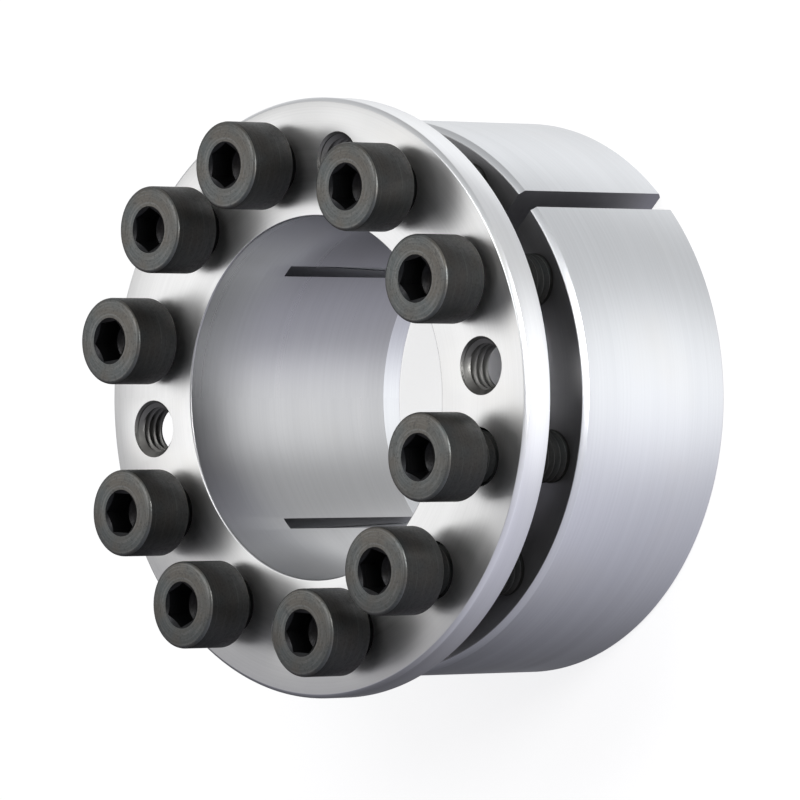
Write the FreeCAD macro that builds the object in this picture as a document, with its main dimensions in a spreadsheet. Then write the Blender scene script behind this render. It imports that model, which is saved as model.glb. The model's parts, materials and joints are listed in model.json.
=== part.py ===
# Shaft locking assembly: a split inner ring with a flange, a split outer ring on its taper,
# and ten socket head screws that draw the two rings together.
# The axis of the device is Z. Z = 0 is the back face of the outer ring, on which it stands,
# and the flange with the screw heads is at the top.
import FreeCAD, Part

import math
import os

import Sketcher

PARTS_FOLDER = "parts"

# Driving dimensions in millimetres, angles in degrees.
SIZES = [
    # The shaft, and the walls from it out to the circle of the screws and on to the seat of
    # the hub, which together make a seat of 85 mm.
    ("bore_diameter", 55.0),
    ("bore_to_screws", 8.7),
    ("screws_to_hub", 6.3),
    # Lengths along the axis.
    ("ring_length", 30.5),
    ("ring_gap", 10.0),
    ("flange_thickness", 5.5),
    ("sleeve_setback", 4.6),
    # The flange stands out past the hub, and stops it.
    ("flange_overhang", 3.0),
    # The wall of the inner ring at its thin end, and the two tapers, which face each other
    # with a slack clearance.
    ("sleeve_wall", 1.22),
    ("taper_angle", 3.0),
    ("taper_clearance", 0.12),
    # Screws and jack threads.
    ("screw_spacing_angle", 31.25),
    ("jack_angle", 7.6),
    ("thread_diameter", 8.0),
    ("thread_pitch", 1.25),
    ("thread_clearance", 0.05),
    ("passage_diameter", 9.0),
    ("thread_mouth_diameter", 8.8),
    # The socket head screws.
    ("screw_length", 30.0),
    ("head_diameter", 13.3),
    ("head_height", 8.0),
    ("head_chamfer", 0.6),
    ("neck_fillet", 0.5),
    ("point_chamfer", 0.9),
    ("socket_flats", 6.0),
    ("socket_depth", 4.3),
    ("socket_mouth_diameter", 7.2),
    # The saw cuts that let both rings close.
    ("outer_slit_width", 3.5),
    ("inner_slit_width", 2.2),
    ("inner_slit_web", 12.8),
    ("saw_radius", 14.0),
    ("saw_overcut", 2.0),
    # Edges.
    ("ring_chamfer", 0.8),
    ("flange_chamfer", 0.6),
    ("edge_break", 0.2),
    ("flange_root_fillet", 1.0),
    # How far each head stands off the flange while the device is slack.
    ("stand_off_01", 1.5),
    ("stand_off_02", 2.6),
    ("stand_off_03", 2.6),
    ("stand_off_04", 2.6),
    ("stand_off_05", 1.9),
    ("stand_off_06", 2.7),
    ("stand_off_07", 2.8),
    ("stand_off_08", 2.7),
    ("stand_off_09", 3.9),
    ("stand_off_10", 4.3),
]


class Size:
    """A size known twice: as a number, and as the formula on the sheet that gives it."""

    def __init__(self, value, formula):
        self.value = value
        self.formula = formula

    def joined(self, sign, other, value):
        right = other.formula if isinstance(other, Size) else repr(other)
        return Size(value, "(" + self.formula + " " + sign + " " + right + ")")

    def __add__(self, other):
        return self.joined("+", other, self.value + number(other))

    def __sub__(self, other):
        return self.joined("-", other, self.value - number(other))

    def __mul__(self, other):
        return self.joined("*", other, self.value * number(other))

    def __truediv__(self, other):
        return self.joined("/", other, self.value / number(other))


def number(size):
    return size.value if isinstance(size, Size) else size


def sine(angle):
    return Size(math.sin(math.radians(angle.value)), "sin(" + angle.formula + ")")


def cosine(angle):
    return Size(math.cos(math.radians(angle.value)), "cos(" + angle.formula + ")")


def tangent(angle):
    return Size(math.tan(math.radians(angle.value)), "tan(" + angle.formula + ")")


def root(size):
    return Size(math.sqrt(size.value), "sqrt(" + size.formula + ")")


doc = FreeCAD.newDocument("shaft_locking_assembly")

sheet = doc.addObject("Spreadsheet::Sheet", "Sizes")
for row, (alias, value) in enumerate(SIZES, start=1):
    sheet.set("A" + str(row), alias)
    sheet.set("B" + str(row), str(value))
    sheet.setAlias("B" + str(row), alias)
doc.recompute()


def size(alias):
    return Size(float(sheet.get(alias)), "Sizes." + alias)


# Radii, diameters and heights that more than one piece uses.
bore_radius = size("bore_diameter") / 2
circle_radius = bore_radius + size("bore_to_screws")
hub_radius = circle_radius + size("screws_to_hub")
flange_radius = hub_radius + size("flange_overhang")
tapped_diameter = size("thread_diameter") + size("thread_clearance") * 2
ring_front = size("ring_length")
flange_back = ring_front + size("ring_gap")
flange_front = flange_back + size("flange_thickness")
sleeve_back = size("sleeve_setback")
ring_back = Size(0.0, "0")


def sleeve_taper_radius(height):
    """Outside radius of the inner ring's sleeve at a height over the outer ring's back."""
    widening = (height - sleeve_back) * tangent(size("taper_angle"))
    return bore_radius + size("sleeve_wall") + widening


def ring_taper_radius(height):
    """Inside radius of the outer ring, a clearance outside the sleeve's taper."""
    return sleeve_taper_radius(height) + size("taper_clearance")


# Angles round the axis. Ten screws sit in groups of two and three, twice over, and a jack
# thread lies in the middle of each wide space between two groups.
spacing = size("screw_spacing_angle")
wide_space = Size(90.0, "90") - spacing * 1.5
half_wide_space = wide_space / 2
jack_first = size("jack_angle")
pair_first = jack_first + half_wide_space
pair_second = pair_first + spacing
jack_second = pair_second + half_wide_space
trio_first = jack_second + half_wide_space
trio_second = trio_first + spacing
trio_third = trio_second + spacing
half_turn_screws = [pair_first, pair_second, trio_first, trio_second, trio_third]
half_turn_jacks = [jack_first, jack_second]
screw_angles = half_turn_screws + [angle + 180 for angle in half_turn_screws]
outer_slit_angle = pair_first + spacing / 2


def origin_feature(body, role):
    return [item for item in body.Origin.OriginFeatures if item.Role == role][0]


def new_body(label):
    body = doc.addObject("PartDesign::Body", label)
    body.Label = label
    return body


def new_sketch(body, name, role):
    """A sketch on one of the body's own origin planes."""
    sketch = body.newObject("Sketcher::SketchObject", name)
    sketch.AttachmentSupport = [(origin_feature(body, role), "")]
    sketch.MapMode = "FlatFace"
    return sketch


def radial_sketch(body, name, angle):
    """A sketch whose plane holds the axis and points out at the given angle."""
    sketch = new_sketch(body, name, "XZ_Plane")
    turned = FreeCAD.Rotation(FreeCAD.Vector(0, 1, 0), angle.value)
    sketch.AttachmentOffset = FreeCAD.Placement(FreeCAD.Vector(0, 0, 0), turned)
    sketch.setExpression("AttachmentOffset.Rotation.Angle", angle.formula)
    return sketch


def bind(sketch, constraint, target):
    sketch.setExpression("Constraints[" + str(constraint) + "]", target.formula)


def pin_point(sketch, geometry, end, across, up):
    """Fix one point of a sketch to its two sizes. None puts it on that axis."""
    if across is None:
        sketch.addConstraint(Sketcher.Constraint("PointOnObject", geometry, end, -2))
    else:
        kept = Sketcher.Constraint("DistanceX", -1, 1, geometry, end, across.value)
        bind(sketch, sketch.addConstraint(kept), across)
    if up is None:
        sketch.addConstraint(Sketcher.Constraint("PointOnObject", geometry, end, -1))
    else:
        kept = Sketcher.Constraint("DistanceY", -1, 1, geometry, end, up.value)
        bind(sketch, sketch.addConstraint(kept), up)


def place_of(across, up):
    return FreeCAD.Vector(number(across or 0), number(up or 0), 0)


def draw_outline(sketch, corners):
    """A closed outline of straight lines through corners given as (across, up) sizes."""
    first = sketch.GeometryCount
    count = len(corners)
    for index, corner in enumerate(corners):
        following = corners[(index + 1) % count]
        sketch.addGeometry(Part.LineSegment(place_of(*corner), place_of(*following)))
    for index in range(count):
        line = first + index
        following = first + (index + 1) % count
        sketch.addConstraint(Sketcher.Constraint("Coincident", line, 2, following, 1))
    for index, (across, up) in enumerate(corners):
        pin_point(sketch, first + index, 1, across, up)


def draw_circle(sketch, across, up, radius):
    place = place_of(across, up)
    circle = sketch.addGeometry(Part.Circle(place, FreeCAD.Vector(0, 0, 1), radius.value))
    kept = sketch.addConstraint(Sketcher.Constraint("Radius", circle, radius.value))
    bind(sketch, kept, radius)
    pin_point(sketch, circle, 3, across, up)


def revolve(body, kind, name, sketch):
    feature = body.newObject(kind, name)
    feature.Profile = sketch
    feature.ReferenceAxis = (origin_feature(body, "Z_Axis"), [""])
    feature.Angle = 360
    sketch.Visibility = False
    doc.recompute()
    return feature


def circle_edges(feature, radius, height):
    """Names of the round edges of that radius whose centre is at that height."""
    found = []
    for index, edge in enumerate(feature.Shape.Edges, start=1):
        curve = edge.Curve
        if not isinstance(curve, Part.Circle):
            continue
        fits = abs(curve.Radius - radius.value) < 1e-4
        if fits and abs(curve.Center.z - height.value) < 1e-4:
            found.append("Edge" + str(index))
    return found


def dress(body, kind, name, base, rims, amount):
    """Chamfer or fillet the round edges named by (radius, height)."""
    edges = []
    for radius, height in rims:
        edges += circle_edges(base, radius, height)
    feature = body.newObject(kind, name)
    feature.Base = (base, edges)
    width = "Size" if kind == "PartDesign::Chamfer" else "Radius"
    feature.setExpression(width, amount.formula)
    doc.recompute()
    return feature


def drill(body, name, top, angles, diameter, mouth):
    """Holes along the axis through the body, on the pitch circle, repeated half a turn on.

    They are drilled down from the height top, or up from the back face where top is None.
    """
    sketch = new_sketch(body, name + "_centres", "XY_Plane")
    if top is not None:
        sketch.setExpression("AttachmentOffset.Base.z", top.formula)
    for angle in angles:
        across = circle_radius * cosine(angle)
        up = circle_radius * sine(angle)
        draw_circle(sketch, across, up, diameter / 2)
    doc.recompute()
    hole = body.newObject("PartDesign::Hole", name)
    hole.Profile = sketch
    doc.recompute()
    hole.DepthType = "ThroughAll"
    hole.Reversed = top is None
    hole.setExpression("Diameter", diameter.formula)
    if mouth is not None:
        hole.HoleCutType = "Countersink"
        hole.setExpression("HoleCutDiameter", mouth.formula)
        hole.HoleCutCountersinkAngle = 90
    sketch.Visibility = False
    doc.recompute()
    repeated = body.newObject("PartDesign::PolarPattern", name + "_repeated")
    repeated.Originals = [hole]
    repeated.Axis = (origin_feature(body, "Z_Axis"), [""])
    repeated.Angle = 360
    repeated.Occurrences = 2
    body.Tip = repeated
    doc.recompute()
    return repeated


def cut_slot(body, name, sketch, width):
    """A saw cut of the given width, half of it on each side of the sketch."""
    pocket = body.newObject("PartDesign::Pocket", name)
    pocket.Profile = sketch
    pocket.Midplane = True
    pocket.setExpression("Length", width.formula)
    sketch.Visibility = False
    doc.recompute()
    return pocket


def make_inner_ring():
    """Sleeve and flange turned in one piece, sawn four times from the back."""
    body = new_body("inner_ring")
    profile = new_sketch(body, "inner_profile", "XZ_Plane")
    draw_outline(profile, [
        (bore_radius, sleeve_back),
        (sleeve_taper_radius(sleeve_back), sleeve_back),
        (sleeve_taper_radius(flange_back), flange_back),
        (flange_radius, flange_back),
        (flange_radius, flange_front),
        (bore_radius, flange_front),
    ])
    turned = revolve(body, "PartDesign::Revolution", "inner_turned", profile)
    rims = [(flange_radius, flange_back), (flange_radius, flange_front)]
    turned = dress(body, "PartDesign::Chamfer", "flange_rims", turned, rims, size("flange_chamfer"))
    rims = [
        (bore_radius, flange_front),
        (bore_radius, sleeve_back),
        (sleeve_taper_radius(sleeve_back), sleeve_back),
    ]
    turned = dress(body, "PartDesign::Chamfer", "bore_rims", turned, rims, size("edge_break"))
    rims = [(sleeve_taper_radius(flange_back), flange_back)]
    dress(body, "PartDesign::Fillet", "flange_root", turned, rims, size("flange_root_fillet"))
    drill(body, "screw_passages", flange_front, half_turn_screws, size("passage_diameter"), None)
    drill(body, "jack_threads", flange_front, half_turn_jacks, tapped_diameter,
          size("thread_mouth_diameter"))
    cut_inner_slits(body)
    return body


def cut_inner_slits(body):
    """Four saw cuts at right angles. The round saw leaves its arc at the closed end, so each
    cut reaches further up on the outside of the sleeve than in the bore."""
    saw = size("saw_radius")
    inside = bore_radius - size("saw_overcut")
    slit_top = flange_front - size("inner_slit_web")
    outside = sleeve_taper_radius(slit_top) + size("saw_overcut")
    below = sleeve_back - size("saw_overcut")
    saw_centre = inside + saw
    in_bore = saw_centre - bore_radius
    centre_height = slit_top - root(saw * saw - in_bore * in_bore)
    at_outside = saw_centre - outside
    outside_top = centre_height + root(saw * saw - at_outside * at_outside)

    sketch = radial_sketch(body, "inner_slit_profile", outer_slit_angle)
    corners = [(inside, centre_height), (inside, below), (outside, below), (outside, outside_top)]
    for start, finish in zip(corners, corners[1:]):
        sketch.addGeometry(Part.LineSegment(place_of(*start), place_of(*finish)))
    centre = place_of(saw_centre, centre_height)
    circle = Part.Circle(centre, FreeCAD.Vector(0, 0, 1), saw.value)
    top = math.atan2(outside_top.value - centre_height.value, -at_outside.value)
    arc = sketch.addGeometry(Part.ArcOfCircle(circle, top, math.pi))
    sketch.addConstraint(Sketcher.Constraint("Coincident", 0, 2, 1, 1))
    sketch.addConstraint(Sketcher.Constraint("Coincident", 1, 2, 2, 1))
    sketch.addConstraint(Sketcher.Constraint("Coincident", 2, 2, arc, 1))
    sketch.addConstraint(Sketcher.Constraint("Coincident", arc, 2, 0, 1))
    pin_point(sketch, arc, 3, saw_centre, centre_height)
    pin_point(sketch, 0, 1, inside, centre_height)
    pin_point(sketch, 1, 1, inside, below)
    pin_point(sketch, 2, 1, outside, below)
    kept = Sketcher.Constraint("DistanceX", -1, 1, 2, 2, outside.value)
    bind(sketch, sketch.addConstraint(kept), outside)

    slit = cut_slot(body, "inner_slit", sketch, size("inner_slit_width"))
    repeated = body.newObject("PartDesign::PolarPattern", "inner_slits")
    repeated.Originals = [slit]
    repeated.Axis = (origin_feature(body, "Z_Axis"), [""])
    repeated.Angle = 360
    repeated.Occurrences = 4
    body.Tip = repeated
    doc.recompute()


def make_outer_ring():
    """A turned ring with a taper inside, ten tapped holes and one cut right through its wall."""
    body = new_body("outer_ring")
    profile = new_sketch(body, "outer_profile", "XZ_Plane")
    draw_outline(profile, [
        (ring_taper_radius(ring_back), None),
        (hub_radius, None),
        (hub_radius, ring_front),
        (ring_taper_radius(ring_front), ring_front),
    ])
    turned = revolve(body, "PartDesign::Revolution", "outer_turned", profile)
    rims = [(hub_radius, ring_back), (hub_radius, ring_front)]
    turned = dress(body, "PartDesign::Chamfer", "hub_rims", turned, rims, size("ring_chamfer"))
    rims = [
        (ring_taper_radius(ring_back), ring_back),
        (ring_taper_radius(ring_front), ring_front),
    ]
    dress(body, "PartDesign::Chamfer", "taper_rims", turned, rims, size("edge_break"))
    drill(body, "tapped_holes", None, half_turn_screws, tapped_diameter,
          size("thread_mouth_diameter"))
    sketch = radial_sketch(body, "outer_slit_profile", outer_slit_angle)
    inside = bore_radius - size("saw_overcut")
    outside = hub_radius + size("saw_overcut")
    over = ring_front + size("saw_overcut")
    draw_outline(sketch, [
        (inside, ring_back - size("saw_overcut")),
        (outside, ring_back - size("saw_overcut")),
        (outside, over),
        (inside, over),
    ])
    cut_slot(body, "outer_slit", sketch, size("outer_slit_width"))
    return body


def make_screw(index, angle):
    """A socket head screw. Its own Z = 0 is the underside of the head."""
    body = new_body("clamp_screw_%02d" % index)
    head_radius = size("head_diameter") / 2
    shank_radius = size("thread_diameter") / 2
    point = Size(0.0, "0") - size("screw_length")
    profile = new_sketch(body, "screw_profile", "XZ_Plane")
    draw_outline(profile, [
        (None, point),
        (shank_radius - size("point_chamfer"), point),
        (shank_radius, point + size("point_chamfer")),
        (shank_radius, None),
        (head_radius, None),
        (head_radius, size("head_height")),
        (None, size("head_height")),
    ])
    turned = revolve(body, "PartDesign::Revolution", "screw_turned", profile)
    seat = Size(0.0, "0")
    rims = [(head_radius, size("head_height"))]
    turned = dress(body, "PartDesign::Chamfer", "head_rim", turned, rims, size("head_chamfer"))
    rims = [(head_radius, seat)]
    turned = dress(body, "PartDesign::Chamfer", "head_underside", turned, rims, size("edge_break"))
    rims = [(shank_radius, seat)]
    dress(body, "PartDesign::Fillet", "neck", turned, rims, size("neck_fillet"))
    cut_socket(body)
    stand_off = size("stand_off_%02d" % index)
    turn = stand_off / size("thread_pitch") * 360
    place_screw(body, angle, flange_front + stand_off, turn)
    return body


def cut_socket(body):
    """Hexagon socket with a drilled cone at its bottom and a chamfered mouth."""
    corner_radius = size("socket_flats") / (cosine(Size(30.0, "30")) * 2)
    sketch = new_sketch(body, "socket_hexagon", "XY_Plane")
    sketch.setExpression("AttachmentOffset.Base.z", size("head_height").formula)
    corners = []
    for step in range(6):
        angle = Size(60.0 * step, str(60 * step))
        up = corner_radius * sine(angle) if step % 3 else None
        corners.append((corner_radius * cosine(angle), up))
    draw_outline(sketch, corners)
    pocket = body.newObject("PartDesign::Pocket", "socket")
    pocket.Profile = sketch
    pocket.setExpression("Length", size("socket_depth").formula)
    sketch.Visibility = False
    doc.recompute()

    mouth_radius = size("socket_mouth_diameter") / 2
    drill_radius = size("socket_flats") / 2
    bottom = size("head_height") - size("socket_depth")
    cone_depth = drill_radius * tangent(Size(30.0, "30"))
    mouth_depth = mouth_radius * tangent(Size(30.0, "30"))
    for name, radius, height, depth in [
        ("socket_drill_point", drill_radius, bottom, cone_depth),
        ("socket_mouth", mouth_radius, size("head_height"), mouth_depth),
    ]:
        cone = new_sketch(body, name + "_profile", "XZ_Plane")
        draw_outline(cone, [(None, height - depth), (radius, height), (None, height)])
        revolve(body, "PartDesign::Groove", name, cone)


def place_screw(body, angle, height, turn):
    """Stand a screw on the pitch circle, turned as its thread has lifted it."""
    across = circle_radius * cosine(angle)
    up = circle_radius * sine(angle)
    place = FreeCAD.Vector(across.value, up.value, height.value)
    spin = FreeCAD.Rotation(FreeCAD.Vector(0, 0, 1), turn.value)
    body.Placement = FreeCAD.Placement(place, spin)
    body.setExpression("Placement.Base.x", across.formula)
    body.setExpression("Placement.Base.y", up.formula)
    body.setExpression("Placement.Base.z", height.formula)
    body.setExpression("Placement.Rotation.Angle", turn.formula)


def check_document(bodies):
    for item in doc.Objects:
        if "Invalid" in item.State or "Error" in item.State:
            raise RuntimeError(item.Label + " failed: " + str(item.State))
    for body in bodies:
        shape = body.Shape
        if shape.isNull() or not shape.isValid() or len(shape.Solids) != 1:
            raise RuntimeError(body.Label + " is not one valid solid")


bodies = [make_inner_ring(), make_outer_ring()]
for index, angle in enumerate(screw_angles, start=1):
    bodies.append(make_screw(index, angle))
doc.recompute()
check_document(bodies)

os.makedirs(PARTS_FOLDER, exist_ok=True)
for body in bodies:
    body.Shape.exportStep(os.path.join(PARTS_FOLDER, body.Label + ".step"))
    print(body.Label, "volume", round(body.Shape.Volume, 1), "faces", len(body.Shape.Faces))
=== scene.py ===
# %% [markdown]
# # A shaft locking assembly
# This device clamps a hub on a plain shaft. A split inner ring with a flange slides with its
# taper into a split outer ring, and ten socket head screws draw the two together. The solids
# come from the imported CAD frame. This lesson dresses them: rings with turned faces, rounded
# edges and real threads, blackened screws, a pale studio and the photograph's camera.

# %% Load the frame and keep its box
import bmesh
import bpy
import json
import math
from mathutils import Matrix, Vector


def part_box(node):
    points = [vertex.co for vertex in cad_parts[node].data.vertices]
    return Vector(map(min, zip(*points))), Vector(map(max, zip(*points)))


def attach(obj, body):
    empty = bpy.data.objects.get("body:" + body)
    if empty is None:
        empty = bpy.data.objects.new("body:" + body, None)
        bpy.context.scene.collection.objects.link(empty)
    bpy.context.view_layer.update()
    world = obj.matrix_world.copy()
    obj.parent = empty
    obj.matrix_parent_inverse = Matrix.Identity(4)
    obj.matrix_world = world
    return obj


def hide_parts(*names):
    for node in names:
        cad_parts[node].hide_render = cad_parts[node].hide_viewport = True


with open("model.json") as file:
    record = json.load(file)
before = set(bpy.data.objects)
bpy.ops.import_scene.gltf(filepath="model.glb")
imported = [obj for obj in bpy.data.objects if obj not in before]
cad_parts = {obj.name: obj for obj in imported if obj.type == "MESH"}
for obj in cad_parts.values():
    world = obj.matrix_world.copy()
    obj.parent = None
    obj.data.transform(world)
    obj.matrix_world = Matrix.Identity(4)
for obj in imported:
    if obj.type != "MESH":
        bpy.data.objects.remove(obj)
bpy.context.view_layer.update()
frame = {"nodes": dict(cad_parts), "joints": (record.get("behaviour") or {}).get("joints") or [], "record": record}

MM = 0.001
TURN = 2 * math.pi
print("frame loaded:", len(frame["nodes"]), "nodes")

# %% [markdown]
# The sizes come from the frame, so that a piece can't drift from the CAD part. Boxes give the
# heights and outside radii, the mounts give the bore, the hub seat and the jack threads, and
# the joints give the place of each screw. What a box can't tell is named here in millimetres.

# %% Sizes
mounts = {mount["name"]: mount for mount in frame["record"]["mounts"]}
bore_radius = mounts["shaft_bore"]["dims"]["r_mm"] * MM
hub_radius = mounts["hub_seat"]["dims"]["r_mm"] * MM
hole_radius = mounts["jack_thread_1"]["dims"]["r_mm"] * MM
inner_low, inner_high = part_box("inner_ring")
outer_low, outer_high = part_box("outer_ring")
sleeve_back, flange_front, flange_radius = inner_low.z, inner_high.z, inner_high.x
ring_back, ring_front = outer_low.z, outer_high.z
jack_wall = mounts["jack_thread_1"]
flange_back = jack_wall["pos_m"][2] - jack_wall["dims"]["length_mm"] * MM / 2

SLEEVE_WALL = 1.22 * MM
TAPER_SLOPE = math.tan(math.radians(3.0))
TAPER_CLEARANCE = 0.12 * MM
THREAD_PITCH = 1.25 * MM
THREAD_RADIUS = 4.0 * MM
MOUTH_RADIUS = 4.4 * MM
PASSAGE_RADIUS = 4.5 * MM
RING_CHAMFER = 0.8 * MM
FLANGE_CHAMFER = 0.6 * MM
EDGE_BREAK = 0.2 * MM
ROOT_FILLET = 1.0 * MM

screw_names = sorted(name for name in frame["nodes"] if name.startswith("clamp_screw"))
screw_places = {}
for joint in frame["joints"]:
    if joint["child"] in screw_names:
        screw_places[joint["child"]] = Vector((joint["pos_m"][0], joint["pos_m"][1], 0))
jack_places = [Vector((*mount["pos_m"][:2], 0)) for name, mount in sorted(mounts.items())
               if name.startswith("jack_thread")]
first_two = screw_places[screw_names[0]] + screw_places[screw_names[1]]
slit_angle = math.atan2(first_two.y, first_two.x)
print("bore", bore_radius, "hub", hub_radius, "flange", flange_back, "to", flange_front)
print("screws", len(screw_places), "jack threads", len(jack_places))

# %% [markdown]
# The studio comes first, because metal only looks like metal when it has something to reflect.
# The photograph has a white background with a faint shadow, bright light from above and the
# right, and a darker side below. A world shader can be such a studio: soft round lobes of light
# in chosen directions over a grey ground. What comes from below has a faint violet tint, as the
# underside of the rings shows in the photograph. The camera sees plain white instead.

# %% Helpers for shader nodes
def add_node(tree, kind, **settings):
    node = tree.nodes.new(kind)
    for name, value in settings.items():
        setattr(node, name, value)
    return node


def math_node(tree, operation, first, second=0.0, third=0.0):
    """A sum of sockets and numbers, such as ADD or MULTIPLY_ADD."""
    node = add_node(tree, "ShaderNodeMath", operation=operation)
    for socket, value in zip(node.inputs, (first, second, third)):
        if isinstance(value, (int, float)):
            socket.default_value = value
        else:
            tree.links.new(value, socket)
    return node.outputs[0]


def map_range(tree, value, low, high, start=0.0, end=1.0):
    node = add_node(tree, "ShaderNodeMapRange", interpolation_type="SMOOTHSTEP")
    tree.links.new(value, node.inputs["Value"])
    for name, number in (("From Min", low), ("From Max", high), ("To Min", start), ("To Max", end)):
        node.inputs[name].default_value = number
    return node.outputs[0]


def mix_colours(tree, factor, first, second):
    """Mix two colours, each a socket or three numbers, by a socket from 0 to 1."""
    node = add_node(tree, "ShaderNodeMix", data_type="RGBA")
    for place, value in ((0, factor), (6, first), (7, second)):
        socket = node.inputs[place]
        if isinstance(value, tuple):
            socket.default_value = (*value, 1.0)
        else:
            tree.links.new(value, socket)
    return node.outputs[2]


print("shader helpers ready")

# %% World: soft lobes of light
GROUND_LIGHT = 0.09
LOW_TINT = (0.89, 0.88, 1.0)
HIGH_TINT = (0.995, 0.995, 1.0)
TINT_FROM, TINT_TO = -0.65, 0.10
WHITE = (1.0, 1.0, 1.0, 1.0)
VIEW_TURN = math.radians(45.82)
to_camera = Vector((math.sin(VIEW_TURN), 0, math.cos(VIEW_TURN)))
LOBES = [
    # direction, cosine where it starts, cosine where it is full, strength
    (Vector((0.71, 0.12, -0.70)), -0.05, 0.95, 0.58),
    (Vector((0.70, 0.07, -0.71)), 0.86, 0.995, 0.68),
    (Vector((-0.55, 0.50, -0.66)), 0.72, 0.98, 0.80),
    (Vector((-0.72, 0.10, 0.70)), 0.30, 0.95, 0.34),
    (Vector((-0.10, 0.95, 0.30)), 0.30, 0.95, 0.35),
    (Vector((0.72, -0.05, 0.69)), 0.30, 0.98, 0.20),
    (Vector((0.65, -0.70, 0.30)), 0.45, 0.98, 0.40),
]


def build_world():
    world = bpy.data.worlds.new("studio")
    world.use_nodes = True
    tree = world.node_tree
    tree.nodes.clear()
    direction = add_node(tree, "ShaderNodeTexCoord").outputs["Generated"]
    light = GROUND_LIGHT
    for towards, start, full, strength in LOBES:
        dot = add_node(tree, "ShaderNodeVectorMath", operation="DOT_PRODUCT")
        tree.links.new(direction, dot.inputs[0])
        dot.inputs[1].default_value = towards.normalized()
        lobe = map_range(tree, dot.outputs["Value"], start, full, 0.0, strength)
        light = math_node(tree, "ADD", lobe, light)
    studio = add_node(tree, "ShaderNodeBackground")
    tree.links.new(light, studio.inputs["Strength"])
    parts = add_node(tree, "ShaderNodeSeparateXYZ")
    tree.links.new(direction, parts.inputs[0])
    raised = map_range(tree, parts.outputs["Y"], TINT_FROM, TINT_TO)
    tree.links.new(mix_colours(tree, raised, LOW_TINT, HIGH_TINT), studio.inputs["Color"])
    white = add_node(tree, "ShaderNodeBackground")
    white.inputs["Color"].default_value = WHITE
    seen = add_node(tree, "ShaderNodeLightPath").outputs["Is Camera Ray"]
    mixed = add_node(tree, "ShaderNodeMixShader")
    tree.links.new(seen, mixed.inputs[0])
    tree.links.new(studio.outputs[0], mixed.inputs[1])
    tree.links.new(white.outputs[0], mixed.inputs[2])
    output = add_node(tree, "ShaderNodeOutputWorld")
    tree.links.new(mixed.outputs[0], output.inputs[0])
    bpy.context.scene.world = world
    return world


print("world:", build_world().name, "with", len(LOBES), "lobes")

# %% [markdown]
# The floor is pale paper. Part of what the camera sees of it is plain white light, so it meets
# the white background without a line. The rest is lit paper, so it still shows the shadow.

# %% Floor
FLOOR_SIZE = 6.0
FLOOR_DROP = 0.05 * MM
FLOOR_WHITE = 0.86
WHITE_SHARE = 0.55
WHITE_STRENGTH = 1.36


def build_floor():
    shape = bmesh.new()
    bmesh.ops.create_grid(shape, x_segments=1, y_segments=1, size=FLOOR_SIZE / 2)
    bmesh.ops.translate(shape, verts=shape.verts, vec=(0, 0, ring_back - FLOOR_DROP))
    mesh = bpy.data.meshes.new("floor")
    shape.to_mesh(mesh)
    shape.free()
    floor = bpy.data.objects.new("floor", mesh)
    bpy.context.scene.collection.objects.link(floor)
    floor.visible_glossy = False
    material = bpy.data.materials.new("floor_paper")
    material.use_nodes = True
    tree = material.node_tree
    tree.nodes.clear()
    paper = add_node(tree, "ShaderNodeBsdfDiffuse")
    paper.inputs["Color"].default_value = (FLOOR_WHITE, FLOOR_WHITE, FLOOR_WHITE, 1.0)
    white = add_node(tree, "ShaderNodeEmission")
    white.inputs["Strength"].default_value = WHITE_STRENGTH
    seen = add_node(tree, "ShaderNodeLightPath").outputs["Is Camera Ray"]
    share = math_node(tree, "MULTIPLY", seen, WHITE_SHARE)
    mixed = add_node(tree, "ShaderNodeMixShader")
    tree.links.new(share, mixed.inputs[0])
    tree.links.new(paper.outputs[0], mixed.inputs[1])
    tree.links.new(white.outputs[0], mixed.inputs[2])
    output = add_node(tree, "ShaderNodeOutputMaterial")
    tree.links.new(mixed.outputs[0], output.inputs["Surface"])
    mesh.materials.append(material)
    return floor


print("floor:", build_floor().name)

# %% [markdown]
# Three small soft lamps do what the lobes can't. One from above casts the shadow, one lights
# the flange's face and one the sides of the screw heads. The camera doesn't see them.

# %% Lamps
LAMPS = [
    # name, place, what it points at, size along Y, size across, watts
    ("key_lamp", Vector((0.10, 0.55, 1.00)), Vector((0, 0, 0)), 0.6, 0.6, 3.0),
    ("face_lamp", Vector((-0.102, 0.020, 0.185)), Vector((0.03, 0.01, 0.046)), 0.12, 0.18, 0.046),
    ("side_lamp", Vector((0.14, 0.04, 0.10)), Vector((0.035, 0.0, 0.050)), 0.06, 0.06, 0.110),
]


def build_lamp(name, place, target, width, height, watts):
    data = bpy.data.lights.new(name, "AREA")
    data.shape = "ELLIPSE"
    data.size = width
    data.size_y = height
    data.energy = watts
    lamp = bpy.data.objects.new(name, data)
    lamp.location = place
    lamp.rotation_euler = (place - target).to_track_quat("Z", "Y").to_euler()
    lamp.visible_camera = False
    bpy.context.scene.collection.objects.link(lamp)
    return lamp


for lamp in LAMPS:
    print("lamp:", build_lamp(*lamp).name)

# %% [markdown]
# The camera stands where the photographer stood: almost 46 degrees off the shaft's axis, level
# with it, and far away behind a long lens, so that near and far circles are nearly as large.
# In the photograph the axis lies level, so the camera is turned with its top towards +Y.

# %% Camera
CAMERA_DISTANCE = 1.270
SENSOR_WIDTH = 36.0
LENS = 377.6
AIM_RIGHT = 13.02 * MM
AIM_DOWN = 0.32 * MM
CLIP_NEAR = 0.05
CLIP_FAR = 50.0


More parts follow.
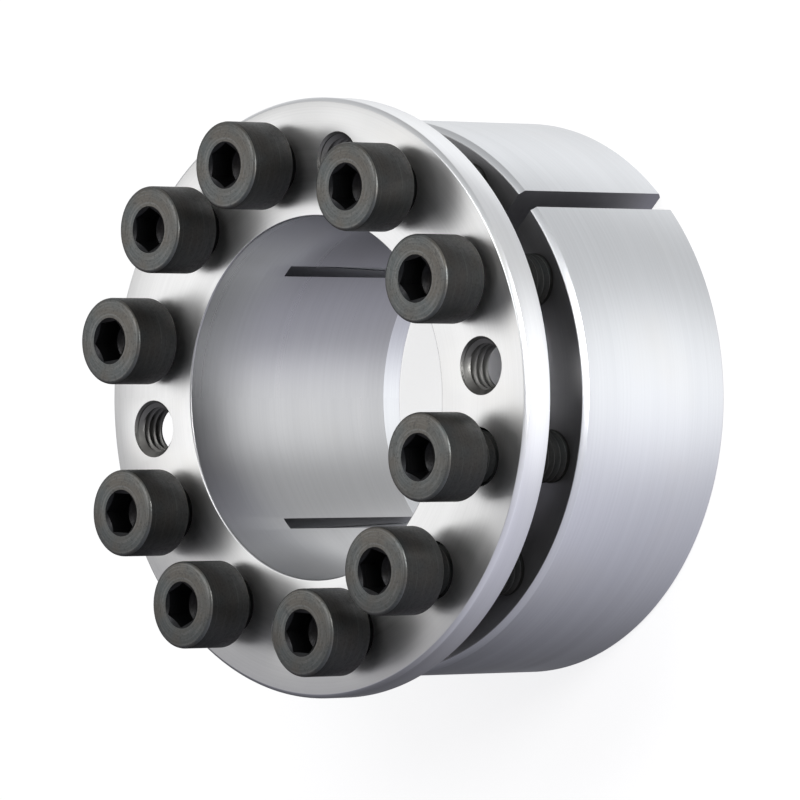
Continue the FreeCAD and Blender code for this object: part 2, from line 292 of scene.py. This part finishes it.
def build_camera():
    right = Vector((math.cos(VIEW_TURN), 0, -math.sin(VIEW_TURN)))
    up = Vector((0, 1, 0))
    aim = Vector((0, 0, flange_front)) + right * AIM_RIGHT - up * AIM_DOWN
    data = bpy.data.cameras.new("camera")
    data.lens = LENS
    data.sensor_width = SENSOR_WIDTH
    data.clip_start = CLIP_NEAR
    data.clip_end = CLIP_FAR
    camera = bpy.data.objects.new("camera", data)
    axes = Matrix((right, up, to_camera)).transposed().to_4x4()
    camera.matrix_world = Matrix.Translation(aim + to_camera * CAMERA_DISTANCE) @ axes
    bpy.context.scene.collection.objects.link(camera)
    bpy.context.scene.camera = camera
    return camera


bpy.context.scene.view_settings.view_transform = "Standard"
print("camera at", build_camera().location[:])

# %% [markdown]
# Turned steel shows the path of the tool: rings on a flat face, and rings along a cylinder.
# One pattern serves both when it is worked out from the distance to the axis and the height,
# read from Object coordinates. A fine noise along that line makes the grooves, a coarse one
# makes bands where the tool was dull, and both change the roughness and a very shallow bump.

# %% Steel of the rings
GROOVES_PER_METRE = 2600.0
COARSE_GROOVES = 1500.0
TURN_SHARE = 0.5
FINE_NOISE = (1.0, 3.0, 0.6)
BAND_SCALE = 0.09
CLOUD_SCALE = 55.0
DARK_SHARE = 0.95
WARM_SHARES = (0.97, 0.955, 0.93)
BAND_ROUGHNESS = 0.02
FINE_ROUGHNESS = 0.05
GRAIN = 0.3
RING_BUMP = 0.25


def turned_lines(tree, fineness, centre=None, across=True):
    """Coordinates that change only across a turning groove, from Object coordinates."""
    place = add_node(tree, "ShaderNodeTexCoord").outputs["Object"]
    if centre is not None:
        moved = add_node(tree, "ShaderNodeVectorMath", operation="SUBTRACT")
        tree.links.new(place, moved.inputs[0])
        moved.inputs[1].default_value = centre
        place = moved.outputs[0]
    parts = add_node(tree, "ShaderNodeSeparateXYZ")
    tree.links.new(place, parts.inputs[0])
    squared = math_node(tree, "MULTIPLY", parts.outputs["X"], parts.outputs["X"])
    radius = math_node(tree, "SQRT", math_node(
        tree, "MULTIPLY_ADD", parts.outputs["Y"], parts.outputs["Y"], squared))
    line = radius if across else parts.outputs["Z"]
    groove = add_node(tree, "ShaderNodeCombineXYZ")
    tree.links.new(math_node(tree, "MULTIPLY", line, fineness), groove.inputs["X"])
    turn = math_node(tree, "ARCTAN2", parts.outputs["Y"], parts.outputs["X"])
    tree.links.new(math_node(tree, "MULTIPLY", turn, TURN_SHARE), groove.inputs["Y"])
    return groove.outputs[0], place


def noise(tree, vector, scale, detail, roughness):
    node = add_node(tree, "ShaderNodeTexNoise")
    tree.links.new(vector, node.inputs["Vector"])
    node.inputs["Scale"].default_value = scale
    node.inputs["Detail"].default_value = detail
    node.inputs["Roughness"].default_value = roughness
    return node.outputs["Fac"]


def new_material(name):
    material = bpy.data.materials.new(name)
    material.use_nodes = True
    tree = material.node_tree
    tree.nodes.clear()
    shader = add_node(tree, "ShaderNodeBsdfPrincipled")
    output = add_node(tree, "ShaderNodeOutputMaterial")
    tree.links.new(shader.outputs[0], output.inputs["Surface"])
    return material, tree, shader


def shaded(colour, *shares):
    """A colour with each part multiplied, by one share or by three."""
    return tuple(part * share for part, share in zip(colour, shares * (3 // len(shares))))


def add_bump(tree, shader, height, strength, distance):
    bump = add_node(tree, "ShaderNodeBump")
    bump.inputs["Strength"].default_value = strength
    bump.inputs["Distance"].default_value = distance
    tree.links.new(height, bump.inputs["Height"])
    tree.links.new(bump.outputs[0], shader.inputs["Normal"])


def ring_steel(name, across, colour, roughness, groove_depth, fineness):
    """Bright turned steel. across picks grooves on a flat face, else along a cylinder."""
    material, tree, shader = new_material(name)
    grooves, place = turned_lines(tree, fineness, across=across)
    fine = noise(tree, grooves, *FINE_NOISE)
    bands = noise(tree, grooves, BAND_SCALE, 2.0, 0.5)
    cloud = noise(tree, place, CLOUD_SCALE, 3.0, 0.55)
    darker = shaded(colour, DARK_SHARE)
    warmer = shaded(colour, *WARM_SHARES)
    tint = mix_colours(tree, map_range(tree, fine, 0.30, 0.70), darker, colour)
    tint = mix_colours(tree, map_range(tree, cloud, 0.50, 0.78, 0.0, 0.7), tint, warmer)
    tree.links.new(tint, shader.inputs["Base Color"])
    rough = map_range(tree, bands, 0.30, 0.70, roughness - BAND_ROUGHNESS,
                      roughness + BAND_ROUGHNESS)
    rough = math_node(tree, "MULTIPLY_ADD", fine, FINE_ROUGHNESS, rough)
    tree.links.new(rough, shader.inputs["Roughness"])
    shader.inputs["Metallic"].default_value = 1.0
    shader.inputs["Anisotropic"].default_value = GRAIN
    add_bump(tree, shader, fine, RING_BUMP, groove_depth)
    return material


RING_STEELS = [
    # name, grooves on a flat face, colour, roughness, groove depth in mm, grooves per metre
    ("flange_face_steel", True, (0.815, 0.815, 0.81), 0.30, 0.004, GROOVES_PER_METRE),
    ("ground_seat_steel", False, (0.79, 0.81, 0.835), 0.33, 0.003, GROOVES_PER_METRE),
    # The bore steel's darker colour is painted shade inside the bore.
    ("bore_steel_painted_shade", False, (0.50, 0.505, 0.515), 0.27, 0.004, GROOVES_PER_METRE),
    # The sawn steel's dark colour is painted shade in the sleeve's saw cuts.
    ("sawn_steel_painted_shade", False, (0.20, 0.20, 0.21), 0.45, 0.006, COARSE_GROOVES),
    # The tapped steel's dark colour is painted shade in the threaded holes.
    ("tapped_steel_painted_shade", False, (0.23, 0.228, 0.22), 0.38, 0.006, COARSE_GROOVES),
    # The rim steel is lighter than the face steel: painted light on the flange's rim.
    ("flange_rim_steel_painted_light", False, (0.90, 0.915, 0.935), 0.28, 0.003, GROOVES_PER_METRE),
    # The slit steel's darker colour is painted shade on the walls of the outer ring's slit.
    ("milled_slit_steel_painted_shade", False, (0.46, 0.46, 0.48), 0.40, 0.005, COARSE_GROOVES),
    # The gap steel's dark colour is painted shade, where shade falls between the flange and the outer ring.
    ("gap_steel_painted_shade", True, (0.46, 0.46, 0.47), 0.36, 0.004, GROOVES_PER_METRE),
]
FACE, SEAT, BORE, SAWN, TAPPED, RIM, SLIT, SHADED_GAP = range(len(RING_STEELS))
ring_steels = [ring_steel(name, across, colour, roughness, depth * MM, fineness)
               for name, across, colour, roughness, depth, fineness in RING_STEELS]
print("ring steels:", [steel.name for steel in ring_steels])

# %% [markdown]
# The screws are blackened by black oxide: dark, but still metal below, so the film takes a
# soft shine from the lamps. Oil left in it gives faint brown and blue patches. The head's top
# was turned before, so it keeps fine rings round the screw's own axis. The top's lighter black
# is painted light, and the darker black of the sides and the socket is painted shade.

# %% Black oxide of the screws
SCREW_BLACKS = [
    # surface, rings on a flat face, colour, roughness, share of metal
    # The top's colour is lighter as painted light, the side's and socket's darker as painted shade.
    ("top", True, (0.112, 0.113, 0.109), 0.40, 0.85),
    ("side", False, (0.027, 0.027, 0.026), 0.50, 0.55),
    ("socket", False, (0.018, 0.018, 0.019), 0.35, 0.85),
]
TOP, SIDE, SOCKET = range(len(SCREW_BLACKS))
HEAD_GROOVES = 3000.0
OIL_SCALE = 160.0
SPECK_SCALE = 2600.0
BROWN_SHARES = (1.07, 0.99, 0.92)
BLUE_SHARES = (0.93, 1.0, 1.04)
WORN_SHARE = 1.55
SPECK_SHARE = 0.65
FILM_SPECULAR = 0.3
FILM_BUMP = 0.30
FILM_DEPTH = 0.006 * MM


def screw_black(name, centre, across, colour, roughness, metallic):
    material, tree, shader = new_material(name)
    grooves, place = turned_lines(tree, HEAD_GROOVES, centre=centre, across=across)
    fine = noise(tree, grooves, *FINE_NOISE)
    oil = noise(tree, place, OIL_SCALE, 2.0, 0.5)
    speck = noise(tree, place, SPECK_SCALE, 2.0, 0.6)
    brown = shaded(colour, *BROWN_SHARES)
    blue = shaded(colour, *BLUE_SHARES)
    tint = mix_colours(tree, map_range(tree, oil, 0.36, 0.64), blue, brown)
    light = shaded(colour, WORN_SHARE)
    tint = mix_colours(tree, map_range(tree, fine, 0.46, 0.68, 0.0, 0.8), tint, light)
    dark = shaded(colour, SPECK_SHARE)
    tint = mix_colours(tree, map_range(tree, speck, 0.50, 0.72, 0.0, 0.6), tint, dark)
    tree.links.new(tint, shader.inputs["Base Color"])
    rough = map_range(tree, speck, 0.25, 0.75, roughness - 0.05, roughness + 0.07)
    tree.links.new(rough, shader.inputs["Roughness"])
    shader.inputs["Metallic"].default_value = metallic
    shader.inputs["Specular IOR Level"].default_value = FILM_SPECULAR
    height = math_node(tree, "MULTIPLY_ADD", speck, 0.5, fine)
    add_bump(tree, shader, height, FILM_BUMP, FILM_DEPTH)
    return material


print("black oxide recipe ready for:", [surface for surface, *rest in SCREW_BLACKS])

# %% [markdown]
# A turned ring is a profile spun round the axis. bmesh spins a closed chain of edges into a
# ring, and bevel then cuts the chamfers on the round edges. The profile stays simple, because
# the chamfers and the fillet are steps of their own, as they are on the lathe.

# %% Turning helpers
RING_STEPS = 288
SOFT_EDGE = 0.07 * MM
SOFT_STEPS = 2
SHARP_ANGLE = math.radians(25)
SMOOTH_ANGLE = math.radians(28)
SAME = 1e-6
WELD = 1e-7


def spin_profile(points, steps):
    """A ring from a closed outline of (radius, height) points."""
    shape = bmesh.new()
    corners = [shape.verts.new((radius, 0, height)) for radius, height in points]
    edges = [shape.edges.new((corners[i], corners[(i + 1) % len(corners)]))
             for i in range(len(corners))]
    bmesh.ops.spin(shape, geom=corners + edges, cent=(0, 0, 0), axis=(0, 0, 1),
                   angle=TURN, steps=steps, use_merge=True)
    bmesh.ops.recalc_face_normals(shape, faces=shape.faces)
    return shape


def spin_solid(points, steps):
    """A closed solid of revolution whose outline starts and ends on the axis."""
    shape = bmesh.new()
    chain = [shape.verts.new((radius, 0, height)) for radius, height in points]
    edges = [shape.edges.new(pair) for pair in zip(chain, chain[1:])]
    bmesh.ops.spin(shape, geom=chain + edges, cent=(0, 0, 0), axis=(0, 0, 1),
                   angle=TURN, steps=steps, use_merge=True)
    bmesh.ops.remove_doubles(shape, verts=shape.verts, dist=WELD)
    bmesh.ops.recalc_face_normals(shape, faces=shape.faces)
    return shape


def round_edges(shape, radius, height):
    """The edges of one circle, found by radius and height."""
    found = []
    for edge in shape.edges:
        ends = [(math.hypot(v.co.x, v.co.y), v.co.z) for v in edge.verts]
        if all(abs(r - radius) < SAME and abs(z - height) < SAME for r, z in ends):
            found.append(edge)
    return found


def bevel_edges(shape, edges, width, segments=1):
    bmesh.ops.bevel(shape, geom=edges, offset=width, offset_type="OFFSET", segments=segments,
                    profile=0.5, affect="EDGES", material=-1, clamp_overlap=False)


def soften(shape):
    """Round every sharp circle a little, as deburring does."""
    sharp = [edge for edge in shape.edges
             if len(edge.link_faces) == 2 and edge.calc_face_angle() > SHARP_ANGLE]
    bevel_edges(shape, sharp, SOFT_EDGE, SOFT_STEPS)


def paint(shape, index):
    for face in shape.faces:
        face.material_index = index


def dress(node, shape, materials):
    """Turn a bmesh into the visible piece of one node, smooth but for its sharp edges."""
    name = node + "_dressed"
    mesh = bpy.data.meshes.new(name)
    shape.to_mesh(mesh)
    shape.free()
    for material in materials:
        mesh.materials.append(material)
    mesh.shade_smooth()
    mesh.set_sharp_from_angle(angle=SMOOTH_ANGLE)
    piece = bpy.data.objects.new(name, mesh)
    bpy.context.scene.collection.objects.link(piece)
    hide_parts(node)
    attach(piece, node)
    return piece


def cut_with(name, shape, cutter):
    """Take one closed shape out of another, and give back the rest as a bmesh."""
    objects = []
    for label, part in ((name, shape), (name + "_cutter", cutter)):
        mesh = bpy.data.meshes.new(label)
        part.to_mesh(mesh)
        part.free()
        item = bpy.data.objects.new(label, mesh)
        bpy.context.scene.collection.objects.link(item)
        objects.append(item)
    body, tool = objects
    cut = body.modifiers.new("cut", "BOOLEAN")
    cut.operation = "DIFFERENCE"
    cut.solver = "EXACT"
    cut.object = tool
    bpy.context.view_layer.update()
    evaluated = body.evaluated_get(bpy.context.evaluated_depsgraph_get())
    result = bmesh.new()
    result.from_mesh(evaluated.to_mesh())
    evaluated.to_mesh_clear()
    for item in objects:
        mesh = item.data
        bpy.data.objects.remove(item)
        bpy.data.meshes.remove(mesh)
    return result


print("turning helpers ready")

# %% [markdown]
# Holes and saw cuts come next. Each cutter is a closed shape, and cutters that don't touch each
# other are gathered in one mesh, so that one boolean makes the whole pattern. A tapped hole has
# a countersunk mouth, so its cutter is a spun outline, wide at the mouth.

# %% Cutters
HOLE_STEPS = 64
OVERCUT = 2.0 * MM


def add_to(target, part, place=(0, 0, 0), turn=0.0):
    """Copy a bmesh into another one, turned round its own axis and moved."""
    bmesh.ops.rotate(part, verts=part.verts, cent=(0, 0, 0), matrix=Matrix.Rotation(turn, 3, "Z"))
    bmesh.ops.translate(part, verts=part.verts, vec=place)
    carrier = bpy.data.meshes.new("carrier")
    part.to_mesh(carrier)
    target.from_mesh(carrier)
    bpy.data.meshes.remove(carrier)
    part.free()


def hole_cutter(radius, low, high, mouth_at_top=None):
    """A drill from low to high. mouth_at_top picks the end with a countersink, if any."""
    points = [(0, low - OVERCUT), (radius, low - OVERCUT), (radius, high + OVERCUT),
              (0, high + OVERCUT)]
    deep = MOUTH_RADIUS - radius
    wide = MOUTH_RADIUS + OVERCUT
    if mouth_at_top is True:
        points[2:] = [(radius, high - deep), (wide, high + OVERCUT), (0, high + OVERCUT)]
    if mouth_at_top is False:
        points[:2] = [(0, low - OVERCUT), (wide, low - OVERCUT), (radius, low + deep)]
    return spin_solid(points, HOLE_STEPS)


print("cutters ready")

# %% [markdown]
# A thread is one small tooth, spun round the axis while it climbs one pitch a turn. In the
# holes it is a ridge that stands in from the wall, and on the screws one that stands out from
# the core. Every thread here has the same start in the frame, so screw and hole interlock.
# The ends are cut flat with bisect_plane, and a cone cuts back the crest at a chamfered end.

# %% Threads
THREAD_STEPS = 40
HALF_PITCH = THREAD_PITCH / 2
HOLE_ROOT_SHARE = 0.90
HOLE_CREST_SHARE = 0.25
SCREW_ROOT_SHARE = 0.75
SCREW_CREST_SHARE = 0.125
RUN_OUT = 0.7 * MM
THREAD_PLAY = 0.03 * MM
CORE_RADIUS = 3.23 * MM
RIDGE_RADIUS = 3.36 * MM
SUNK = 0.05 * MM


def helix_ridge(base_radius, base_half, crest_radius, crest_half, low, high, phase):
    """A closed helical ridge between two heights. phase is the crest's height at angle zero."""
    first = math.floor((low - phase) / THREAD_PITCH) - 1
    turns = math.ceil((high - low) / THREAD_PITCH) + 3
    start = phase + first * THREAD_PITCH
    shape = bmesh.new()
    tooth = [(base_radius, -base_half), (crest_radius, -crest_half),
             (crest_radius, crest_half), (base_radius, base_half)]
    corners = [shape.verts.new((r, 0, start + z)) for r, z in tooth]
    outline = [shape.edges.new((corners[i - 1], corners[i])) for i in range(len(corners))]
    bmesh.ops.spin(shape, geom=corners + outline, cent=(0, 0, 0), axis=(0, 0, 1), angle=TURN,
                   dvec=(0, 0, THREAD_PITCH / THREAD_STEPS), steps=THREAD_STEPS, use_merge=False)
    one_turn = shape.verts[:] + shape.edges[:] + shape.faces[:]
    for turn in range(1, turns):
        copied = bmesh.ops.duplicate(shape, geom=one_turn)["geom"]
        lifted = [item for item in copied if isinstance(item, bmesh.types.BMVert)]
        bmesh.ops.translate(shape, verts=lifted, vec=(0, 0, THREAD_PITCH * turn))
    bmesh.ops.remove_doubles(shape, verts=shape.verts, dist=WELD)
    for height, side in ((low, -1), (high, 1)):
        geometry = shape.verts[:] + shape.edges[:] + shape.faces[:]
        bmesh.ops.bisect_plane(shape, geom=geometry, plane_co=(0, 0, height),
                               plane_no=(0, 0, side), clear_outer=True)
        rim = [edge for edge in shape.edges if edge.is_boundary]
        filled = bmesh.ops.holes_fill(shape, edges=rim, sides=0)["faces"]
        bmesh.ops.triangulate(shape, faces=filled)
    bmesh.ops.recalc_face_normals(shape, faces=shape.faces)
    return shape


def limit_radius(shape, low, high, radius_at_low, radius_at_high, keep_inside):
    """Push the crest back to a cone between two heights, inside it or outside it."""
    for vertex in shape.verts:
        if not low <= vertex.co.z <= high:
            continue
        share = (vertex.co.z - low) / (high - low)
        limit = radius_at_low + (radius_at_high - radius_at_low) * share
        radius = math.hypot(vertex.co.x, vertex.co.y)
        if (radius > limit) == keep_inside:
            vertex.co.x *= limit / radius
            vertex.co.y *= limit / radius


def hole_thread(low, high):
    """The ridge in a tapped hole, half a pitch off the ridge of a screw."""
    return helix_ridge(hole_radius + SUNK, HALF_PITCH * HOLE_ROOT_SHARE, RIDGE_RADIUS,
                       HALF_PITCH * HOLE_CREST_SHARE - THREAD_PLAY, low, high, HALF_PITCH)


print("thread helpers ready")

# %% [markdown]
# After the cuts each face of a ring gets the steel of its surface, told from where it lies and
# which way it faces. The sleeve's four cuts were made by a round saw fed in from the back, so
# they end in an arc. The outer ring is cut through by a slit instead.

# %% Surfaces and saw cuts
SAW_RADIUS = 14.0 * MM
SLIT_WEB = 12.8 * MM
INNER_SLIT = 2.2 * MM
OUTER_SLIT = 3.5 * MM
ARC_STEPS = 12
ROOT_STEPS = 5
FACES_ALONG = 0.9
CUT_OUTWARDS = 0.5
CUT_UPRIGHT = 0.1


def sleeve_radius(height):
    """Outside radius of the tapered sleeve at a height."""
    return bore_radius + SLEEVE_WALL + (height - sleeve_back) * TAPER_SLOPE


def pick_steels(shape, places, wall_radius, cut):
    """Give each face the steel of its surface: face, seat, bore, slit or tapped hole."""
    gap_low, gap_high = ring_front - SUNK, flange_back + SUNK
    for face in shape.faces:
        middle = face.calc_center_median()
        radius = math.hypot(middle.x, middle.y)
        outwards = (middle.x * face.normal.x + middle.y * face.normal.y) / radius
        in_bore = radius < bore_radius + EDGE_BREAK
        sleeve = outwards > FACES_ALONG and radius < sleeve_radius(flange_back) + EDGE_BREAK
        # Faces in the gap between flange and outer ring get the dark gap steel: painted shade.
        between = not in_bore and (gap_low < middle.z < gap_high or sleeve)
        if abs(face.normal.z) > FACES_ALONG:
            face.material_index = SHADED_GAP if between else FACE
        # Walls of the holes get the dark tapped steel: painted shade.
        elif any(math.hypot(middle.x - place.x, middle.y - place.y) < wall_radius
                 for place in places):
            face.material_index = TAPPED
        elif abs(outwards) < CUT_OUTWARDS and abs(face.normal.z) < CUT_UPRIGHT:
            face.material_index = cut
        elif between:
            face.material_index = SHADED_GAP
        # The bore gets the darker bore steel: painted shade.
        elif in_bore:
            face.material_index = BORE
        else:
            # The flange's rim gets the lighter rim steel: painted light.
            face.material_index = RIM if radius > hub_radius + EDGE_BREAK else SEAT


def saw_cutter():
    """The space that a round saw sweeps as it is fed up the sleeve from the back."""
    inside = bore_radius - OVERCUT
    outside = sleeve_radius(flange_back) + OVERCUT
    centre = inside + SAW_RADIUS
    slit_top = flange_front - SLIT_WEB
    centre_height = slit_top - math.sqrt(SAW_RADIUS ** 2 - (centre - bore_radius) ** 2)
    first = math.pi
    last = math.acos((outside - centre) / SAW_RADIUS)
    points = [(outside, sleeve_back - OVERCUT), (inside, sleeve_back - OVERCUT)]
    for step in range(ARC_STEPS + 1):
        angle = first + (last - first) * step / ARC_STEPS
        points.append((centre + SAW_RADIUS * math.cos(angle),
                       centre_height + SAW_RADIUS * math.sin(angle)))
    shape = bmesh.new()
    corners = [shape.verts.new((r, -INNER_SLIT / 2, z)) for r, z in points]
    section = shape.faces.new(corners)
    grown = bmesh.ops.extrude_face_region(shape, geom=[section])["geom"]
    lifted = [item for item in grown if isinstance(item, bmesh.types.BMVert)]
    bmesh.ops.translate(shape, verts=lifted, vec=(0, INNER_SLIT, 0))
    bmesh.ops.recalc_face_normals(shape, faces=shape.faces)
    return shape


print("steels of a ring:", len(ring_steels), "saw radius", SAW_RADIUS)

# %% [markdown]
# The inner ring is turned, then drilled, then sawn. Drilling and sawing are two booleans, since
# cutters in one mesh mustn't overlap. The ridges of the jack threads come last, sunk a little
# into the walls of their holes, and they run out in the countersunk mouths at the front.

# %% Inner ring
def build_inner_ring():
    shape = spin_profile([
        (bore_radius, sleeve_back), (sleeve_radius(sleeve_back), sleeve_back),
        (sleeve_radius(flange_back), flange_back), (flange_radius, flange_back),
        (flange_radius, flange_front), (bore_radius, flange_front)], RING_STEPS)
    rims = round_edges(shape, flange_radius, flange_back)
    rims += round_edges(shape, flange_radius, flange_front)
    root = round_edges(shape, sleeve_radius(flange_back), flange_back)
    breaks = round_edges(shape, bore_radius, flange_front)
    breaks += round_edges(shape, bore_radius, sleeve_back)
    breaks += round_edges(shape, sleeve_radius(sleeve_back), sleeve_back)
    bevel_edges(shape, rims, FLANGE_CHAMFER)
    bevel_edges(shape, breaks, EDGE_BREAK)
    bevel_edges(shape, root, ROOT_FILLET, ROOT_STEPS)
    soften(shape)
    cutters = bmesh.new()
    for place in screw_places.values():
        add_to(cutters, hole_cutter(PASSAGE_RADIUS, flange_back, flange_front), place)
    for place in jack_places:
        add_to(cutters, hole_cutter(hole_radius, flange_back, flange_front, True), place)
    shape = cut_with("inner_ring_drilled", shape, cutters)
    cutters = bmesh.new()
    for quarter in range(4):
        add_to(cutters, saw_cutter(), turn=slit_angle + quarter * TURN / 4)
    shape = cut_with("inner_ring_sawn", shape, cutters)
    holes = jack_places + list(screw_places.values())
    # The saw cuts' walls get the dark sawn steel: painted shade.
    pick_steels(shape, holes, PASSAGE_RADIUS + SUNK, SAWN)
    for place in jack_places:
        ridge = hole_thread(flange_back + SUNK, flange_front - SUNK)
        limit_radius(ridge, flange_front - (MOUTH_RADIUS - hole_radius) - RUN_OUT, flange_front,
                     RIDGE_RADIUS, MOUTH_RADIUS, False)
        paint(ridge, TAPPED)
        add_to(shape, ridge, place)
    return dress("inner_ring", shape, ring_steels)


inner_ring = build_inner_ring()
print("inner ring:", len(inner_ring.data.polygons), "faces")

# %% [markdown]
# The outer ring has the same taper with a small clearance. It is drilled ten times and slit
# once, and its threads run out in countersunk mouths at the back.

# %% Outer ring
def build_outer_ring():
    def taper(height):
        return sleeve_radius(height) + TAPER_CLEARANCE

    shape = spin_profile([
        (taper(ring_back), ring_back), (hub_radius, ring_back),
        (hub_radius, ring_front), (taper(ring_front), ring_front)], RING_STEPS)
    rims = round_edges(shape, hub_radius, ring_back) + round_edges(shape, hub_radius, ring_front)
    breaks = round_edges(shape, taper(ring_back), ring_back)
    breaks += round_edges(shape, taper(ring_front), ring_front)
    bevel_edges(shape, rims, RING_CHAMFER)
    bevel_edges(shape, breaks, EDGE_BREAK)
    soften(shape)
    cutters = bmesh.new()
    for place in screw_places.values():
        add_to(cutters, hole_cutter(hole_radius, ring_back, ring_front, False), place)
    slit = bmesh.new()
    bmesh.ops.create_cube(slit, size=1.0)
    inside, outside = taper(ring_back) - OVERCUT, hub_radius + OVERCUT
    low, high = ring_back - OVERCUT, ring_front + OVERCUT
    bmesh.ops.scale(slit, verts=slit.verts, vec=(outside - inside, OUTER_SLIT, high - low))
    bmesh.ops.translate(slit, verts=slit.verts, vec=((inside + outside) / 2, 0, (low + high) / 2))
    add_to(cutters, slit, turn=slit_angle)
    shape = cut_with("outer_ring_cut", shape, cutters)
    # The slit's walls get the darker slit steel: painted shade.
    pick_steels(shape, screw_places.values(), MOUTH_RADIUS + SUNK, SLIT)
    for place in screw_places.values():
        ridge = hole_thread(ring_back + SUNK, ring_front - SUNK)
        limit_radius(ridge, ring_back, ring_back + (MOUTH_RADIUS - hole_radius) + RUN_OUT,
                     MOUTH_RADIUS, RIDGE_RADIUS, False)
        paint(ridge, TAPPED)
        add_to(shape, ridge, place)
    return dress("outer_ring", shape, ring_steels)


outer_ring = build_outer_ring()
print("outer ring:", len(outer_ring.data.polygons), "faces")

# %% [markdown]
# The screw is made once as a head on a plain core, with its hexagon socket cut in, and once
# more for each screw as a thread that starts where the frame's helix says. How far a screw is
# screwed in also says how far its head is turned, so the sockets point different ways, as in
# the photograph.

# %% Screws
HEAD_RADIUS = 6.65 * MM
HEAD_HEIGHT = 8.0 * MM
HEAD_CHAMFER = 0.6 * MM
SCREW_LENGTH = 30.0 * MM
POINT_CHAMFER = 0.9 * MM
NECK_FILLET = 0.5 * MM
NECK_LENGTH = 1.1 * MM
SOCKET_FLATS = 6.0 * MM
SOCKET_DEPTH = 4.3 * MM
SOCKET_MOUTH_RADIUS = 3.6 * MM
HEAD_STEPS = 96
CONE_STEPS = 48
ROUND_STEPS = 4
CONE_SLOPE = math.tan(math.radians(30))
SOCKET_LOWEST = 0.5 * MM
MOUTH_EDGE = 0.02 * MM
FACES_UP = 0.3
THREAD_END_SHARE = 0.6
HEXAGON = 6


def socket_cutter():
    shape = bmesh.new()
    corner_radius = SOCKET_FLATS / math.sqrt(3)
    bmesh.ops.create_cone(shape, cap_ends=True, segments=HEXAGON, radius1=corner_radius,
                          radius2=corner_radius, depth=SOCKET_DEPTH + OVERCUT)
    middle = HEAD_HEIGHT - SOCKET_DEPTH + (SOCKET_DEPTH + OVERCUT) / 2
    bmesh.ops.rotate(shape, verts=shape.verts, cent=(0, 0, 0),
                     matrix=Matrix.Rotation(TURN / HEXAGON / 2, 3, "Z"))
    bmesh.ops.translate(shape, verts=shape.verts, vec=(0, 0, middle))
    return shape


def cone_cutter(radius, height, rise):
    """A cone that points down, as a drill or a countersink leaves."""
    depth = radius * CONE_SLOPE
    wide = radius + rise / CONE_SLOPE
    return spin_solid([(0, height - depth), (wide, height + rise), (0, height + rise)], CONE_STEPS)


def build_head():
    shape = spin_solid([
        (0, -SCREW_LENGTH), (CORE_RADIUS, -SCREW_LENGTH), (CORE_RADIUS, -NECK_LENGTH),
        (THREAD_RADIUS, -NECK_LENGTH / 2), (THREAD_RADIUS, 0), (HEAD_RADIUS, 0),
        (HEAD_RADIUS, HEAD_HEIGHT), (0, HEAD_HEIGHT)], HEAD_STEPS)
    bevel_edges(shape, round_edges(shape, HEAD_RADIUS, HEAD_HEIGHT), HEAD_CHAMFER,
                ROUND_STEPS)
    bevel_edges(shape, round_edges(shape, HEAD_RADIUS, 0), EDGE_BREAK, SOFT_STEPS)
    bevel_edges(shape, round_edges(shape, THREAD_RADIUS, 0), NECK_FILLET, ROUND_STEPS)
    shape = cut_with("head_cut", shape, socket_cutter())
    shape = cut_with("head_mouth", shape, cone_cutter(SOCKET_MOUTH_RADIUS, HEAD_HEIGHT, MM))
    drill_point = cone_cutter(SOCKET_FLATS / 2 - SUNK, HEAD_HEIGHT - SOCKET_DEPTH, SUNK)
    return cut_with("head_drill", shape, drill_point)


def build_screw(name, head):
    place = screw_places[name]
    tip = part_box(name)[0].z
    seat = tip + SCREW_LENGTH
    stand_off = seat - flange_front
    shape = bmesh.new()
    shape.from_mesh(head)
    bmesh.ops.rotate(shape, verts=shape.verts, cent=(0, 0, 0),
                     matrix=Matrix.Rotation(stand_off / THREAD_PITCH * TURN, 3, "Z"))
    bmesh.ops.translate(shape, verts=shape.verts, vec=(0, 0, seat))
    for face in shape.faces:
        middle = face.calc_center_median()
        radius = math.hypot(middle.x, middle.y)
        deep = seat + SOCKET_LOWEST < middle.z < seat + HEAD_HEIGHT - MOUTH_EDGE
        # The socket gets the darkest black and the sides a darker one, painted shade; the top a lighter one,
        # painted light.
        if deep and radius < SOCKET_MOUTH_RADIUS:
            face.material_index = SOCKET
        else:
            face.material_index = TOP if face.normal.z > FACES_UP else SIDE
    thread = helix_ridge(CORE_RADIUS - SUNK, HALF_PITCH * SCREW_ROOT_SHARE + THREAD_PLAY,
                         THREAD_RADIUS, HALF_PITCH * SCREW_CREST_SHARE - THREAD_PLAY / 4,
                         tip + SUNK, seat - NECK_LENGTH * THREAD_END_SHARE, 0.0)
    limit_radius(thread, tip, tip + POINT_CHAMFER, THREAD_RADIUS - POINT_CHAMFER,
                 THREAD_RADIUS, True)
    paint(thread, SIDE)
    add_to(shape, thread)
    bmesh.ops.translate(shape, verts=shape.verts, vec=place)
    centre = Vector((place.x, place.y, 0))
    blacks = [screw_black(f"{name}_{surface}", centre, across, colour, roughness, metallic)
              for surface, across, colour, roughness, metallic in SCREW_BLACKS]
    return dress(name, shape, blacks)


head_shape = build_head()
head_mesh = bpy.data.meshes.new("head_pattern")
head_shape.to_mesh(head_mesh)
head_shape.free()
for name in screw_names:
    screw = build_screw(name, head_mesh)
    print(screw.name, len(screw.data.polygons), "faces")
bpy.data.meshes.remove(head_mesh)
